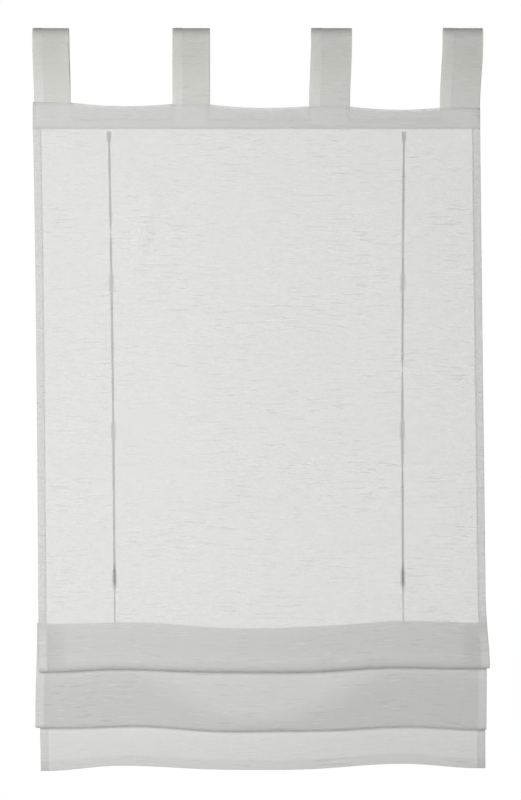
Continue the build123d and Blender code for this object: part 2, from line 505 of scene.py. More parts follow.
class Nodes:
    """A short way to lay out one material's nodes."""

    def __init__(self, name: str) -> None:
        """Starts an empty material.

        Args:
            name: The material's name.
        """
        self.material = bpy.data.materials.new(name)
        self.material.use_nodes = True
        self.tree = self.material.node_tree
        self.tree.nodes.clear()

    def add(self, kind: str, links: dict | None = None, **settings: object) -> bpy.types.Node:
        """Adds a node.

        Args:
            kind: The node's type.
            links: What each input takes: a socket, or a value set on the input itself.
            settings: The node's own properties.

        Returns:
            The node.
        """
        node = self.tree.nodes.new(kind)
        for key, value in settings.items():
            setattr(node, key, value)
        for key, value in (links or {}).items():
            if isinstance(value, bpy.types.NodeSocket):
                self.tree.links.new(value, node.inputs[key])
            else:
                node.inputs[key].default_value = value
        return node

    def math(self, operation: str, a: object, b: object = 0.0, c: object = 0.0) -> bpy.types.NodeSocket:
        """A sum of sockets and numbers.

        Args:
            operation: The node's operation.
            a: First term.
            b: Second term.
            c: Third term.

        Returns:
            The result's socket.
        """
        return self.add("ShaderNodeMath", {0: a, 1: b, 2: c}, operation=operation).outputs[0]

    def weave(self) -> bpy.types.NodeSocket:
        """The place on the flat cloth."""
        return self.add("ShaderNodeUVMap", uv_map="weave").outputs[0]

    def scaled(self, vector: object, share: bpy.types.NodeSocket) -> bpy.types.NodeSocket:
        """A colour or a direction times a share."""
        return self.add("ShaderNodeVectorMath", {0: vector, "Scale": share}, operation="SCALE").outputs[0]

    def ribs(self, place: bpy.types.NodeSocket, pitch: float) -> bpy.types.NodeSocket:
        """Even ribs, as sin(2 pi place / pitch)."""
        return self.math("SINE", self.math("MULTIPLY", place, 2 * math.pi / pitch))

    def noise(
        self,
        place: bpy.types.NodeSocket,
        scale: tuple[float, float, float],
        detail: float,
    ) -> bpy.types.NodeSocket:
        """Noise whose grains have the size 1 / scale along each direction of place.

        Args:
            place: Coordinates.
            scale: Grains a unit along each direction.
            detail: Finer octaves.

        Returns:
            The noise, around one half.
        """
        mapped = self.add("ShaderNodeMapping", {"Vector": place, "Scale": scale})
        grain = self.add("ShaderNodeTexNoise", {"Vector": mapped.outputs[0], "Scale": 1.0, "Detail": detail})
        return grain.outputs[0]

    def share(self, name: str) -> bpy.types.NodeSocket:
        """A painted share of the mesh."""
        return self.add("ShaderNodeAttribute", attribute_name=name).outputs["Fac"]

    def ranged(self, value: bpy.types.NodeSocket, low: float, high: float) -> bpy.types.NodeSocket:
        """Eases a value from 0 at low to 1 at high, or the other way where low is the higher."""
        limits = {"Value": value, "From Min": low, "From Max": high}
        return self.add("ShaderNodeMapRange", limits, interpolation_type="SMOOTHSTEP").outputs[0]

    def finish(self, surface: bpy.types.Node) -> bpy.types.Material:
        """Sends a shader to the output.

        Args:
            surface: The shader's node.

        Returns:
            The finished material.
        """
        output = self.add("ShaderNodeOutputMaterial")
        self.tree.links.new(surface.outputs[0], output.inputs["Surface"])
        return self.material


@dataclass(frozen=True)
class ClothFinish:
    """Sheer cloth with uneven weft threads: thick and thin slubs lie across it, and light passes between.

    cover_share is how much of one wall of the cloth the threads fill, and a layer has two walls. The
    scales are grains a metre across and along the cloth.
    """

    name: str
    colour: tuple[float, float, float]
    cover_share: float
    hem_cover_share: float
    glow_share: float
    slub_share: float
    tone_share: float = 0.006
    roughness: float = 0.85
    gloss_share: float = 0.15
    sheen_weight: float = 0.06
    thread_pitch: float = 0.0005
    thread_share: float = 0.07
    bump_distance: float = 0.0003
    bump_strength: float = 0.5
    thread_relief_share: float = 0.08
    drift: tuple[float, float, float] = (0, 0.005, 0)
    drift_scale: tuple[float, float, float] = (9, 9, 1)
    long_scale: tuple[float, float, float] = (32, 310, 1)
    short_scale: tuple[float, float, float] = (60, 700, 1)
    patch_scale: tuple[float, float, float] = (8, 14, 1)
    cloud_scale: tuple[float, float, float] = (3.5, 27, 1)
    patch_limits: tuple[float, float] = (0.36, 0.66)
    thick_limits: tuple[float, float] = (0.60, 0.71)
    thin_limits: tuple[float, float] = (0.39, 0.28)
    thick_share: float = 2.0
    thin_share: float = -1.3
    short_share: float = 0.2
    everywhere_share: float = 0.35

    def material(self) -> bpy.types.Material:
        """Builds the finish on the cloth's own flat coordinates.

        Returns:
            The material.
        """
        nodes = Nodes(self.name)
        place = nodes.weave()
        drift = nodes.scaled(self.drift, nodes.noise(place, self.drift_scale, detail=1))
        drifted = nodes.add("ShaderNodeVectorMath", {0: place, 1: drift}, operation="ADD").outputs[0]
        long_slubs = nodes.noise(drifted, self.long_scale, detail=1)
        short_slubs = nodes.noise(drifted, self.short_scale, detail=1)
        patches = nodes.ranged(nodes.noise(place, self.patch_scale, detail=2), *self.patch_limits)
        thick = nodes.ranged(long_slubs, *self.thick_limits)
        thin = nodes.ranged(long_slubs, *self.thin_limits)
        thin = nodes.math("MULTIPLY", thin, self.thin_share)
        dashes = nodes.math("MULTIPLY_ADD", thick, self.thick_share, thin)
        fine = nodes.math("MULTIPLY_ADD", short_slubs, self.short_share, -self.short_share / 2)
        slub = nodes.math("MULTIPLY_ADD", dashes, nodes.math("ADD", patches, self.everywhere_share), fine)
        cloudy = nodes.math("SUBTRACT", nodes.noise(place, self.cloud_scale, detail=2), 0.5)
        apart = nodes.add("ShaderNodeSeparateXYZ", {0: place})
        warp, weft = (nodes.ribs(apart.outputs[axis], self.thread_pitch) for axis in (0, 1))
        threads = nodes.math("ADD", warp, weft)
        closer_share = self.hem_cover_share - self.cover_share
        cover = nodes.math("MULTIPLY_ADD", nodes.share("dense"), closer_share, self.cover_share)
        cover = nodes.math("MULTIPLY_ADD", slub, self.slub_share, cover)
        cover = nodes.math("MULTIPLY_ADD", threads, self.thread_share, cover)
        cover = nodes.math("MULTIPLY_ADD", cloudy, self.slub_share / 2, cover)
        cover = nodes.math("MINIMUM", nodes.math("MAXIMUM", cover, 0.0), 1.0)
        tone = nodes.math("MULTIPLY_ADD", slub, self.tone_share, 1.0)
        tone = nodes.math("MULTIPLY_ADD", cloudy, self.tone_share, tone)
        colour = nodes.scaled(self.colour, tone)
        height = nodes.math("MULTIPLY_ADD", threads, self.thread_relief_share, slub)
        relief = {"Strength": self.bump_strength, "Distance": self.bump_distance, "Height": height}
        bump = nodes.add("ShaderNodeBump", relief).outputs[0]
        face = nodes.add(
            "ShaderNodeBsdfPrincipled",
            {
                "Base Color": colour,
                "Roughness": self.roughness,
                "Specular IOR Level": self.gloss_share,
                "Sheen Weight": self.sheen_weight,
                "Normal": bump,
            },
        )
        glow = nodes.add("ShaderNodeBsdfTranslucent", {"Color": colour, "Normal": bump})
        lit = nodes.add("ShaderNodeMixShader", {0: self.glow_share, 1: face.outputs[0], 2: glow.outputs[0]})
        gaps = nodes.add("ShaderNodeBsdfTransparent")
        return nodes.finish(
            nodes.add("ShaderNodeMixShader", {0: cover, 1: gaps.outputs[0], 2: lit.outputs[0]})
        )


@dataclass(frozen=True)
class TapeFinish:
    """A narrow woven tape, dense where it is rolled up and thinner where it lies flat; its greys are painted
    shade, darkest where it is rolled up.
    """

    name: str
    rolled_shade_colour: tuple[float, float, float]
    flat_shade_colour: tuple[float, float, float]
    flat_cover_share: float
    roughness: float = 0.8
    rib_pitch: float = 0.0011
    rib_share: float = 0.2
    worn_scale: tuple[float, float, float] = (300, 60, 1)
    worn_share: float = 0.3
    ground_share: float = 0.85
    bump_distance: float = 0.00015
    bump_strength: float = 0.6

    def material(self) -> bpy.types.Material:
        """Builds the finish, with ribs across the tape.

        Returns:
            The material.
        """
        nodes = Nodes(self.name)
        place = nodes.weave()
        ribs = nodes.ribs(nodes.add("ShaderNodeSeparateXYZ", {0: place}).outputs[1], self.rib_pitch)
        worn = nodes.noise(place, self.worn_scale, detail=2)
        rolled = nodes.share("rolled")
        colour = nodes.add(
            "ShaderNodeMix",
            {"Factor": rolled, "A": (*self.flat_shade_colour, 1), "B": (*self.rolled_shade_colour, 1)},
            data_type="RGBA",
        )
        uneven = nodes.math("MULTIPLY_ADD", ribs, self.rib_share, worn)
        tone = nodes.math("MULTIPLY_ADD", uneven, self.worn_share, self.ground_share)
        relief = {"Strength": self.bump_strength, "Distance": self.bump_distance, "Height": ribs}
        bump = nodes.add("ShaderNodeBump", relief)
        cover = nodes.math("MULTIPLY_ADD", rolled, 1 - self.flat_cover_share, self.flat_cover_share)
        return nodes.finish(
            nodes.add(
                "ShaderNodeBsdfPrincipled",
                {
                    "Base Color": nodes.scaled(colour.outputs["Result"], tone),
                    "Roughness": self.roughness,
                    "Normal": bump.outputs[0],
                    "Alpha": cover,
                },
            )
        )


@dataclass(frozen=True)
class ThreadFinish:
    """Sewing thread with a twist."""

    name: str
    colour: tuple[float, float, float]
    roughness: float = 0.6
    twist_pitch: float = 0.0005
    twist_share: float = 0.08

    def material(self) -> bpy.types.Material:
        """Builds the finish, with its twist lines across the thread.

        Returns:
            The material.
        """
        nodes = Nodes(self.name)
        apart = nodes.add("ShaderNodeSeparateXYZ", {0: nodes.weave()})
        slant = nodes.math("ADD", apart.outputs[0], apart.outputs[1])
        tone = nodes.math("MULTIPLY_ADD", nodes.ribs(slant, self.twist_pitch), self.twist_share, 1.0)
        look = {"Base Color": nodes.scaled(self.colour, tone), "Roughness": self.roughness}
        return nodes.finish(nodes.add("ShaderNodeBsdfPrincipled", look))


@dataclass(frozen=True)
class FloorFinish:
    """A plain pale floor with a faint mottle."""

    name: str
    colour: tuple[float, float, float]
    roughness: float = 0.9
    mottle_scale: tuple[float, float, float] = (3, 3, 3)
    mottle_share: float = 0.04
    ground_share: float = 0.98

    def material(self) -> bpy.types.Material:
        """Builds the finish.

        Returns:
            The material.
        """
        nodes = Nodes(self.name)
        place = nodes.add("ShaderNodeTexCoord").outputs["Object"]
        mottle = nodes.noise(place, self.mottle_scale, detail=3)
        tone = nodes.math("MULTIPLY_ADD", mottle, self.mottle_share, self.ground_share)
        look = {"Base Color": nodes.scaled(self.colour, tone), "Roughness": self.roughness}
        return nodes.finish(nodes.add("ShaderNodeBsdfPrincipled", look))


# Cloth panel


@dataclass
class Panel:
    """The length of sheer cloth, from one sheet: header, flat part, two pleats, flap, side and bottom hems.

    A fade is where an ease starts and ends, or how far it reaches. A start or end along the fall is in
    stations.
    """

    hang: Hang

    # Rows and columns
    face_columns: int = 96
    hem_columns: int = 5
    turn_columns: int = 3
    rise_rows: int = 8
    hem_rise_rows: int = 5
    turn_rows: int = 5
    run_counts: tuple[int, ...] = (84, 44, 10, 24, 10, 24)
    arc_count: int = 11
    body_rows: tuple[int, int] = (0, 0)

    # Cloth and hems
    thickness: float = 0.3
    layer_step: float = 0.5
    side_hem: float = 11
    bottom_hem: float = 13
    first_turn: float = 2.2
    turn_inset: float = 0.4
    turn_bulge: float = 0.3
    tuck_bulge: float = 0.25
    edge_round: float = 1
    face_inset: float = 1
    stitch_inset: float = 1.3
    hem_bulk_power: int = 6

    # Header
    header_top: float = -88.5
    header_sag: float = 3.7
    header_fall: float = 8
    turn_under: float = 13
    back_y: float = 1.35
    pinch_y: float = -0.1
    pinch_reach: float = 10
    end_bulk: float = 1.65
    end_bulk_reach: float = 20
    end_bulk_fade: float = 28
    tuck_back_share: float = 0.7
    tuck_bulk_share: float = 0.6
    round_share: float = 0.4
    tab_middles: tuple[float, ...] = (-274, -88, 98, 274)
    tab_half: float = 26

    # Pleats
    swell_above_crest: float = 54.8
    swell_radius: float = 120
    swell_depth: float = 17
    fold_radius: float = 5.5
    crest_radius: float = 2
    second_crest_step: float = 27.3
    flap_y: float = 11.75
    crest: FallLine = FallLine(790.8, 8.2, 9.6, 0.72, 0.86, 0.5, 0.4)
    upper_fold: FallLine = FallLine(848.8, 3.4, 6.2, 0.15, 0.82, 0.5, 2.1)
    lower_fold: FallLine = FallLine(929.8, 6.8, 5.8, 0.72, 0.62, 0.9, 0.9)
    hem: FallLine = FallLine(982, 5.6, 8.4, -0.15, 0.32, 0.5, 1.7)
    pleat_widening_shares: tuple[float, ...] = (0, 0, 0.005, 0.004, 0.008, 0, -0.004)
    pleat_shifts: tuple[float, ...] = (0, 1.2, 3.4, 0.6, -1.8, 0, 0.6)
    bellies: tuple[Belly, ...] = (
        Belly(Station.SWELL, 4.5, 1, 3, 3),
        Belly(Station.CREST, 7, 0.85, 1.2, 2.6),
        Belly(Station.SECOND_CREST, 2, 0.85, 1.2, 2.6),
    )
    belly_fade: tuple[float, float] = (32, 62)

    # How close the threads lie; some of these shares also paint light and shade
    header_shares: tuple[float, float] = (0.1, 0.9)
    header_edge_share: float = -0.9
    header_edge_depth: float = 2.5
    turned_fade: tuple[float, float] = (-5, 3)
    tab_fade: float = 4
    # Upper pleat: denser front above, easing open toward its rolled fold, which paints that fold's lower
    # edge in shade
    upper_share: float = 0.7
    crest_fade: tuple[float, float] = (-1, 2)
    fold_shade_fade: tuple[float, float] = (Station.UPPER_FOLD - 0.22, Station.UPPER_FOLD)
    # Lower pleat: a denser front painted lighter down to a line that sags between the tapes, and painted
    # shade below that line
    drawn_share: float = 0.9
    drawn_start: tuple[float, float] = (Station.CREST - 0.4, Station.CREST)
    drawn_end: tuple[float, float] = (Station.LOWER_FOLD - 0.15, Station.LOWER_FOLD + 0.05)
    swag_shares: tuple[float, float] = (0.42, 0.95)
    swag_shade_share: float = 0.75
    swag_shade_fade: tuple[float, float] = (-0.2, 0.2)
    flap_start: tuple[float, float] = (Station.SECOND_CREST - 0.2, Station.SECOND_CREST)
    flap_hem_share: float = 0.7
    flat_hem_share: float = -0.2
    # Side hems are denser in the pleats: partly the hem's stiffer, flatter cloth, partly painted light on
    # its brighter-lit face
    folded_hem_start: tuple[float, float] = (Station.SWELL + 0.2, Station.SWELL + 0.6)
    hem_fade: float = 0.8
    beside_hem_share: float = 0.9
    beside_hem_fade: tuple[float, float] = (-32, -11)
    tucked_share: float = -1.2
    # Weave opened over the bunched tape near the third loop, so the dark tape shows through as a painted
    # shade spot
    bunch_shade_share: float = -1.0
    open_places: tuple[float, float] = (-197.5, 189.5)
    open_half: float = 1.2
    open_fade_share: float = 1.6
    open_middle: float = -720.5
    open_reach: float = 13
    open_fade: tuple[float, float] = (-1, 2)
    open_end: float = Station.SWELL + 0.4

    def columns(self) -> tuple[np.ndarray, np.ndarray, np.ndarray]:
        """The sheet's columns from raw edge to raw edge, with both double-turned side hems.

        From the raw edge the cloth lies in the hem's middle layer, turns at the stitch line into the back
        layer, and turns at the side into the face.

        Returns:
            Place across the blind, distance behind the face, and place across the flat cloth.
        """
        edge = self.hang.half_width
        inner = edge - self.side_hem
        fold = inner + self.turn_inset
        bend = np.linspace(0, 1, self.turn_columns)
        bulge = self.turn_bulge * np.sin(bend * np.pi)
        step = self.layer_step
        even = np.ones(self.hem_columns)
        tuck = np.linspace(inner + self.first_turn, fold, self.hem_columns)
        under = np.linspace(fold, edge - self.turn_inset, self.hem_columns)
        side_x = np.concatenate([tuck, fold - bulge, under, edge - self.turn_bulge + bulge])
        side_back = np.concatenate([step * even, step + step * bend, 2 * step * even, 2 * step * (1 - bend)])
        hem_face = np.array([edge - self.face_inset, (edge + inner) / 2, inner + self.stitch_inset])
        middle = np.linspace(-inner + self.stitch_inset, inner - self.stitch_inset, self.face_columns)
        beside = self.open_half * np.array([-self.open_fade_share, -1, 0, 1, self.open_fade_share])
        middle = np.sort(np.concatenate([middle, *(place + beside for place in self.open_places)]))
        face = np.concatenate([-hem_face, middle, hem_face[::-1]])
        x = np.concatenate([-side_x, face, side_x[::-1]])
        back = np.concatenate([side_back, np.zeros(len(face)), side_back[::-1]])
        return x, back, run_length(np.hypot(np.diff(x), np.diff(back)))

    def at_end(self, x: np.ndarray) -> np.ndarray:
        """1 in the side hems, easing to 0 beside them."""
        inner = self.hang.half_width - self.side_hem
        return smooth(np.abs(x), inner - self.end_bulk_reach, inner)

    def tucked(self, x: np.ndarray, back: np.ndarray) -> np.ndarray:
        """Whether a column is in a side hem's turned-under edge, between its other two layers."""
        near_stitches = np.abs(x) < self.hang.half_width - self.side_hem / 2
        return (back > 0) & (back < 2 * self.layer_step) & near_stitches

    def between_tapes(self, x: np.ndarray) -> np.ndarray:
        """How far a place is between the tapes: a cosine from 1 at mid width to 0 at a tape and beyond."""
        return (np.cos(np.pi * x / self.hang.tape_place) + 1) / 2 * (np.abs(x) < self.hang.tape_place)

    def turn_angles(self) -> np.ndarray:
        """The angles of the rows inside a half turn of the cloth."""
        return (np.pi * np.linspace(0, 1, self.turn_rows)[1:-1])[:, None]

    def header_edge(self, x: np.ndarray) -> np.ndarray:
        """Height of the header's top: it falls to the right and sags as a parabola between its tabs.

        Args:
            x: Places across.

        Returns:
            Heights.
        """
        level = self.header_top - self.header_fall * x / (2 * self.hang.half_width)
        for left, right in zip(self.tab_middles, self.tab_middles[1:]):
            middle = (left + right) / 2
            half = (right - left) / 2 - self.tab_half
            level = level - self.header_sag * np.maximum(1 - ((x - middle) / half) ** 2, 0)
        return level

    def back_layer(self, x: np.ndarray, z: np.ndarray) -> np.ndarray:
        """The y of the header's back layer, which lies at a constant depth and draws in to the seam.

        Args:
            x: Place of each column across.
            z: Heights, rows by columns.

        Returns:
            The y at each point.
        """
        drawn = smooth(z, self.hang.seam_z, self.hang.seam_z + self.pinch_reach)
        return self.pinch_y + (self.back_y + self.end_bulk * self.at_end(x) - self.pinch_y) * drawn

    def header_rows(self, x: np.ndarray, back: np.ndarray) -> tuple[np.ndarray, np.ndarray]:
        """The header from its turned-under raw edge, up the back, over the top and down the front.

        The ends stand thicker because the side hems are turned in with them.

        Args:
            x: Place of each column across.
            back: Distance of each column behind the face.

        Returns:
            The y and z of the rows, each rows by columns.
        """
        seam = self.hang.seam_z
        shoulder = self.header_edge(x) - self.edge_round
        bulk = self.end_bulk * self.at_end(x)
        rise = np.linspace(0, 1, self.rise_rows)[:, None]
        angle = self.turn_angles()
        tuck_z = seam + self.turn_under * (1 - rise[::2]) + 0 * x
        tuck_y = self.back_layer(x, tuck_z) - self.layer_step + back * self.tuck_back_share
        tuck_y = tuck_y - bulk * self.tuck_bulk_share
        low_z = seam - self.tuck_bulge * np.sin(angle) + 0 * x
        low_y = half_turn(tuck_y[-1], self.back_layer(x, low_z) - back, angle)
        up_z = seam + (shoulder - seam) * rise
        up_y = self.back_layer(x, up_z) - back
        front_y = self.hang.panel_y - bulk + back
        over_z = shoulder + (self.edge_round - back * self.round_share) * np.sin(angle)
        over_y = half_turn(up_y[-1], front_y, angle)
        down_z = shoulder + (seam - shoulder) * rise[:-1]
        down_y = front_y + 0 * rise[:-1]
        y = np.concatenate([tuck_y, low_y, up_y, over_y, down_y])
        z = np.concatenate([tuck_z, low_z, up_z, over_z, down_z])
        return y, z

    def turns(self, x: np.ndarray) -> list[Turn]:
        """The panel's turns below the header: swell, upper fold, crest, lower fold and second crest.

        Args:
            x: Place of each column across.

        Returns:
            The turns, with heights that follow the fall lines.
        """
        hang = self.hang
        lines = (self.crest, self.upper_fold, self.lower_fold)
        crest, upper, lower = (line.height(x, hang.tape_place, hang.half_width) for line in lines)
        middle = hang.panel_y
        crest = crest - self.crest_radius
        second = crest - self.second_crest_step
        swell_z = hang.crest_z + self.swell_above_crest
        return [
            Turn(middle - self.swell_radius, swell_z, -self.swell_radius),
            Turn(middle - self.swell_depth + self.fold_radius, upper + self.fold_radius, self.fold_radius),
            Turn(middle - self.crest_radius, crest, -self.crest_radius),
            Turn(middle + self.fold_radius, lower + self.fold_radius, self.fold_radius),
            Turn(self.flap_y - self.crest_radius, second, -self.crest_radius),
        ]

    def fall(self, y: np.ndarray, z: np.ndarray) -> tuple[np.ndarray, np.ndarray]:
        """How far down the cloth the rows below the header lie, and its stations with them.

        The station of a turn is at the middle of its arc.

        Args:
            y: The rows' y at mid width.
            z: Their heights.

        Returns:
            The distances of the rows and of the stations from the seam.
        """
        spot = run_length(np.hypot(np.diff(y), np.diff(z)))
        runs = np.array(self.run_counts[:-1])
        arc_starts = np.cumsum(runs) + self.arc_count * np.arange(len(runs)) + 1
        return spot, spot[[0, *(arc_starts + self.arc_count // 2), -1]]

    def rounded_out(
        self,
        x: np.ndarray,
        z: np.ndarray,
        spot: np.ndarray,
        stations: np.ndarray,
    ) -> np.ndarray:
        """How far the cloth below the header stands forward of its plain path: bulky side hems and bellies.

        Args:
            x: Place of each column across.
            z: Heights, rows by columns.
            spot: Distance of each row down the cloth.
            stations: Distance of each station down the cloth.

        Returns:
            The move forward at each point.
        """
        between = self.between_tapes(x)
        below_seam = smooth(self.hang.seam_z - z, 0, self.end_bulk_fade)
        forward = self.end_bulk * self.at_end(x) * (1 - below_seam)
        for belly in self.bellies:
            first, last = stations[belly.station], stations[belly.station + 1]
            share = np.interp(spot, [first, last], [0, 1], left=0, right=0)[:, None]
            free = smooth(spot - first, *self.belly_fade)[:, None]
            power = belly.power + (belly.swag_power - belly.power) * between
            depth = belly.depth * (belly.held_share + (1 - belly.held_share) * between)
            forward = forward + depth * free * np.sin(np.pi * share**power) ** 2
        return forward

    def surface(self) -> Surface:
        """Lays the whole sheet out as one grid of rows along the cloth and columns across it.

        Returns:
            The sheet's surface, with the share "dense" for how close the threads lie.
        """
        x, back, flat = self.columns()
        hang = self.hang
        level = 0 * x
        head_y, head_z = self.header_rows(x, back)
        hem_edge = self.hem.height(x, hang.tape_place, hang.half_width)
        body_y, body_z = turn_path(
            self.turns(x),
            (hang.panel_y + level, hang.seam_z + level),
            (self.flap_y + level, hem_edge + self.edge_round),
            back,
            self.run_counts,
            self.arc_count,
        )
        middle = len(x) // 2
        spot, stations = self.fall(body_y[:, middle], body_z[:, middle])
        body_y = body_y - self.rounded_out(x, body_z, spot, stations)
        hem_y, hem_z = self.bottom_hem_rows(x, back, hem_edge)
        y = np.concatenate([head_y, body_y, hem_y])
        z = np.concatenate([head_z, body_z, hem_z])
        first = len(head_y)
        self.body_rows = (first, first + len(body_y))
        numbers = np.arange(len(stations))
        place = np.interp(spot, stations, numbers)
        eased = np.floor(place) + smooth(place % 1, 0, 1)
        eased = np.concatenate([np.zeros(first), eased, np.full(len(hem_y), eased[-1])])[:, None]
        widening = np.interp(eased, numbers, self.pleat_widening_shares)
        shift = np.interp(eased, numbers, self.pleat_shifts)
        across = x * (1 + widening) + shift + hang.leaned(z, hang.panel_lean) + hang.side_bow(x, z)
        y = y + hang.wave(x + 0 * z, z)
        steps = np.hypot(np.diff(y, axis=0), np.diff(z, axis=0)).mean(axis=1)
        weave = weave_map(flat[None, :], run_length(steps)[:, None])
        body_dense = np.where(self.tucked(x, back), self.tucked_share, self.dense(x, place, body_z))
        dense = np.concatenate([self.header_dense(x, head_z), body_dense, 1 + 0 * hem_y])
        return Surface(np.stack([across, y, z], axis=-1), weave, {"dense": dense})

    def header_dense(self, x: np.ndarray, z: np.ndarray) -> np.ndarray:
        """How close the header's threads lie: closer in the turned-under part, and over the tabs' ends as
        painted light on the shade that the tabs inside it cast.

        They are drawn open along the top edge between the tabs.

        Args:
            x: Place of each column across.
            z: Heights, rows by columns.

        Returns:
            The share "dense" at each point.
        """
        above, below = self.header_shares
        turned = 1 - smooth(z - self.hang.seam_z - self.turn_under, *self.turned_fade)
        nearest = np.abs(x[:, None] - np.array(self.tab_middles)).min(axis=1)
        # painted light: the header is fully dense over the tabs' ends, lifting the shade that the tabs
        # inside it cast
        over_tab = 1 - smooth(nearest - self.tab_half, -self.tab_fade, 0)
        at_edge = 1 - smooth(self.header_edge(x) - z, self.header_edge_depth / 2, self.header_edge_depth)
        drawn_open = self.header_edge_share * at_edge * (1 - over_tab)
        return np.maximum(above + (below - above) * turned, over_tab) + drawn_open

    def dense(self, x: np.ndarray, place: np.ndarray, z: np.ndarray) -> np.ndarray:
        """How close the threads lie below the header, where 0 is the flat cloth and 1 a folded hem.

        They lie closer on the front of each pleat, down to a line that sags between the tapes, in the side
        hems of the pleats and on the flap. These shares also paint light and shade: the upper pleat opens
        into painted shade at its rolled fold, the lower pleat is painted lighter down to the sagging line
        and shaded below it, and the side hems are partly painted lighter in the pleats. The weave is opened
        where a tape is bunched behind it, so the dark tape shows as a painted shade spot.

        Args:
            x: Place of each column across.
            place: Place of each row along the fall, in stations.
            z: Heights, rows by columns.

        Returns:
            The share "dense" at each point.
        """
        row = place[:, None]
        hang = self.hang
        # painted light on the lower pleat's front, and painted shade below the sagging swag line
        drawn = self.drawn_share * smooth(row, *self.drawn_start) * (1 - smooth(row, *self.drawn_end))
        high, low = self.swag_shares
        line = Station.CREST + high + (low - high) * self.between_tapes(x)
        drawn = drawn * (1 - self.swag_shade_share * smooth(row - line, *self.swag_shade_fade))
        crest_z = self.crest.height(x, hang.tape_place, hang.half_width)
        upper = self.upper_share * smooth(crest_z - z, *self.crest_fade) * (row > Station.SWELL)
        # painted shade: the upper pleat's front opens toward its fold, so the rolled bottom renders darker
        upper = upper * (1 - smooth(row, *self.fold_shade_fade))
        from_hem = np.abs(x) - (hang.half_width - self.side_hem)
        upper = upper * (1 - self.beside_hem_share * smooth(from_hem, *self.beside_hem_fade))
        in_hem = smooth(from_hem, -self.hem_fade, 0)
        on_flap = smooth(row, *self.flap_start)
        flap = on_flap * (1 - self.flap_hem_share * in_hem)
        # partly the stiffer hem, partly painted light: the side hems are denser inside the pleats
        folded = smooth(row, *self.folded_hem_start) * in_hem * (1 - on_flap)
        dense = np.maximum(np.maximum(drawn, upper), np.maximum(folded, flap))
        dense = dense + self.flat_hem_share * in_hem * (row < self.folded_hem_start[0])
        # painted shade: the weave opens over the bunched tape, deepening its dark spot
        for middle in self.open_places:
            across = 1 - smooth(np.abs(x - middle) / self.open_half, 1, self.open_fade_share)
            along = 1 - smooth(np.abs(z - self.open_middle) - self.open_reach, *self.open_fade)
            dense = dense + self.bunch_shade_share * across * along * (row < self.open_end)
        return dense

    def bottom_hem_rows(
        self,
        x: np.ndarray,
        back: np.ndarray,
        hem_edge: np.ndarray,
    ) -> tuple[np.ndarray, np.ndarray]:
        """The bottom hem's turn, its back layer going up, and its tucked layer coming down between.

        The layers step back by the cloth they cover, so they stand further apart over the side hems.

        Args:
            x: Place of each column across.
            back: Distance of each column behind the face.
            hem_edge: Height of the hem's edge at each column.

        Returns:
            The y and z of the rows, each rows by columns.
        """
        bulk = self.at_end(x) ** self.hem_bulk_power
        stack = self.layer_step * (1 + 2 * bulk)
        deep = 2 * stack + 2 * self.layer_step * bulk
        angle = self.turn_angles()
        rise = np.linspace(0, 1, self.hem_rise_rows)[:, None]
        low = hem_edge + self.edge_round
        top = hem_edge + self.bottom_hem
        face_y = self.flap_y + back
        back_y = self.flap_y + deep - back
        tuck_y = self.flap_y + stack + back
        low_y = half_turn(face_y, back_y, angle)
        low_z = low - self.edge_round * np.sin(angle)
        up_z = low + (top - low) * rise
        top_y = half_turn(back_y, tuck_y, angle)
        top_z = top + self.tuck_bulge * np.sin(angle)
        down_z = top - self.first_turn * rise
        y = np.concatenate([low_y, back_y + 0 * rise, top_y, tuck_y + 0 * rise])
        z = np.concatenate([low_z, up_z, top_z, down_z])
        return y, z

    def stitch_rows(self, surface: Surface, sewing: "Stitching") -> list[Surface]:
        """Stitches along both side hems, the header's seam and the bottom hem, on the face and on the back.

        Args:
            surface: The panel's surface.
            sewing: The kind of stitch.

        Returns:
            One surface of stitches for each row and face.
        """
        x, back, _ = self.columns()
        half = self.thickness / 2
        first, last = self.body_rows
        points = surface.points
        rows = []
        hem_x = self.hang.half_width - self.side_hem + self.stitch_inset
        for sign in (-1, 1):
            from_line = np.where(back == 0, np.abs(x - sign * hem_x), np.inf)
            line = points[first:last, np.argmin(from_line)]
            behind = back_of(line)
            rows.append(sewing.along(line - half * behind, -behind))
            rows.append(sewing.along(line + (2 * self.layer_step + half) * behind, behind))
        face = np.flatnonzero(back == 0)
        forward = np.tile([0.0, -1, 0], (len(face), 1))
        inset = np.array([0, 0, self.stitch_inset])
        rows.append(sewing.along(points[first, face] + inset + half * forward, forward))
        inside_turn = self.turn_rows - 2
        seam_row = first - (2 * self.rise_rows - 1) - inside_turn
        low, high = points[seam_row, face], points[seam_row + 1, face]
        back_seam = low + (high - low) * self.stitch_inset / (high[:, 2:] - low[:, 2:])
        rows.append(sewing.along(back_seam - half * forward, -forward))
        hem_top = points[last + inside_turn + self.hem_rise_rows - 1, face] - inset
        rows.append(sewing.along(hem_top - half * forward, -forward))
        depth = np.array([0, 2 * self.layer_step, 0])
        rows.append(sewing.along(hem_top - depth + half * forward, forward))
        return rows

    def build(
        self,
        material: bpy.types.Material,
        thread: bpy.types.Material,
        tabs: list[bpy.types.Object],
        sewn_on: list[bpy.types.Object],
    ) -> bpy.types.Object:
        """Makes the panel and its stitching and sets them in place of its solid.

        Args:
            material: The cloth's finish.
            thread: The thread's finish.
            tabs: The tabs that it hangs from; not used.
            sewn_on: The tapes and guide loops on its back; not used.

        Returns:
            The panel.
        """
        surface = self.surface()
        piece = make_piece("blind_cloth", [surface], material)
        thicken(piece, self.thickness)
        stitches = make_piece("hem_stitches", self.stitch_rows(surface, Stitching()), thread)
        for part in (piece, stitches):
            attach(part, BODY)
        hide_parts("blind_panel")
        return piece


# Stitching


